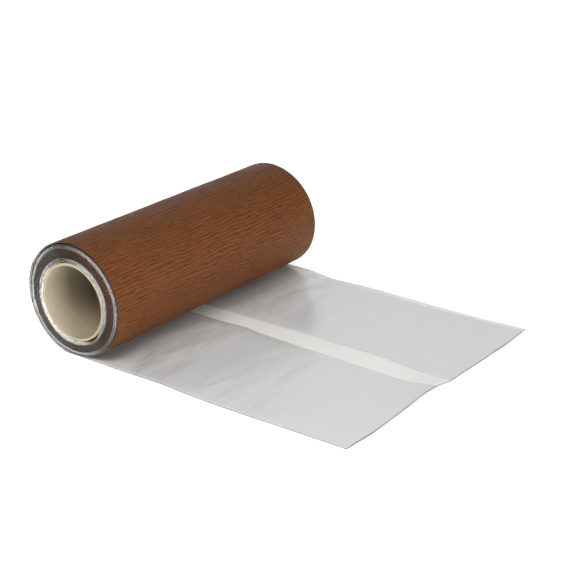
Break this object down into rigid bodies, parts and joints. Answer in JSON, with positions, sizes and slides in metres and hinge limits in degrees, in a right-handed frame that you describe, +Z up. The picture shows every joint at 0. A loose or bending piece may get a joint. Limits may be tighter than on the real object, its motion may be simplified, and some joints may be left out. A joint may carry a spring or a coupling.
{
  "type": "self-adhesive flashing tape roll",
  "caption": "Wide roll of crinkled, brown-coated foil flashing tape on a cardboard core, its free end laid flat with the lined adhesive side up; it unrolls at folds and its liner ends peel.",
  "frame": {"origin": "middle of the whole object's underside: the floor, halfway between the roll's back and the tape's free edge, halfway across the tape's width", "axes": "+X along the tape towards its free edge, +Y along the roll's axis, +Z up"},
  "size_m": [0.3626, 0.3, 0.1108],
  "materials": {
    "coated_foil": "satin",
    "adhesive": "satin",
    "release_liner": "satin",
    "core_board": "matte",
    "core_ply": "matte"
  },
  "bodies": {
    "tail": {"tail_foil": "coated_foil", "tail_near_adhesive": "adhesive", "tail_far_adhesive": "adhesive", "tail_near_liner": "release_liner", "tail_far_liner": "release_liner"},
    "near_liner_flap": {"near_liner_flap": "release_liner"},
    "far_liner_flap": {"far_liner_flap": "release_liner"},
    "panel_1": {"panel_1_foil": "coated_foil", "panel_1_near_adhesive": "adhesive", "panel_1_far_adhesive": "adhesive", "panel_1_near_liner": "release_liner", "panel_1_far_liner": "release_liner"},
    "panel_2": {"panel_2_foil": "coated_foil", "panel_2_near_adhesive": "adhesive", "panel_2_far_adhesive": "adhesive", "panel_2_near_liner": "release_liner", "panel_2_far_liner": "release_liner"},
    "panel_3": {"panel_3_foil": "coated_foil", "panel_3_near_adhesive": "adhesive", "panel_3_far_adhesive": "adhesive", "panel_3_near_liner": "release_liner", "panel_3_far_liner": "release_liner"},
    "panel_4": {"panel_4_foil": "coated_foil", "panel_4_near_adhesive": "adhesive", "panel_4_far_adhesive": "adhesive", "panel_4_near_liner": "release_liner", "panel_4_far_liner": "release_liner"},
    "panel_5": {"panel_5_foil": "coated_foil", "panel_5_near_adhesive": "adhesive", "panel_5_far_adhesive": "adhesive", "panel_5_near_liner": "release_liner", "panel_5_far_liner": "release_liner"},
    "panel_6": {"panel_6_foil": "coated_foil", "panel_6_near_adhesive": "adhesive", "panel_6_far_adhesive": "adhesive", "panel_6_near_liner": "release_liner", "panel_6_far_liner": "release_liner"},
    "roll": {"wound_foil": "coated_foil", "wound_near_adhesive": "adhesive", "wound_far_adhesive": "adhesive", "wound_near_liner": "release_liner", "wound_far_liner": "release_liner", "core_inner_ply": "core_ply", "core_board": "core_board", "core_outer_ply": "core_ply"}
  },
  "joints": [
    {"name": "fold_1", "type": "hinge", "parent": "tail", "child": "panel_1", "pos_m": [-0.13452, 0, 0], "axis": [0, -1, 0], "range_deg": [0, 18]},
    {"name": "fold_2", "type": "hinge", "parent": "panel_1", "child": "panel_2", "pos_m": [-0.15126, 0, 0.00544], "axis": [0, -1, 0], "range_deg": [0, 18]},
    {"name": "fold_3", "type": "hinge", "parent": "panel_2", "child": "panel_3", "pos_m": [-0.1655, 0, 0.01578], "axis": [0, -1, 0], "range_deg": [0, 18]},
    {"name": "fold_4", "type": "hinge", "parent": "panel_3", "child": "panel_4", "pos_m": [-0.17584, 0, 0.03002], "axis": [0, -1, 0], "range_deg": [0, 18]},
    {"name": "fold_5", "type": "hinge", "parent": "panel_4", "child": "panel_5", "pos_m": [-0.18128, 0, 0.04676], "axis": [0, -1, 0], "range_deg": [0, 18]},
    {"name": "fold_6", "type": "hinge", "parent": "panel_5", "child": "panel_6", "pos_m": [-0.18128, 0, 0.06436], "axis": [0, -1, 0], "range_deg": [0, 18]},
    {"name": "fold_7", "type": "hinge", "parent": "panel_6", "child": "roll", "pos_m": [-0.17584, 0, 0.08109], "axis": [0, -1, 0], "range_deg": [0, 18]},
    {"name": "near_liner_peel", "type": "hinge", "parent": "tail", "child": "near_liner_flap", "pos_m": [0.10028, 0, 0.00083], "axis": [0, -1, 0], "range_deg": [0, 165]},
    {"name": "far_liner_peel", "type": "hinge", "parent": "tail", "child": "far_liner_flap", "pos_m": [0.10028, 0, 0.00083], "axis": [0, -1, 0], "range_deg": [0, 165]}
  ]
}
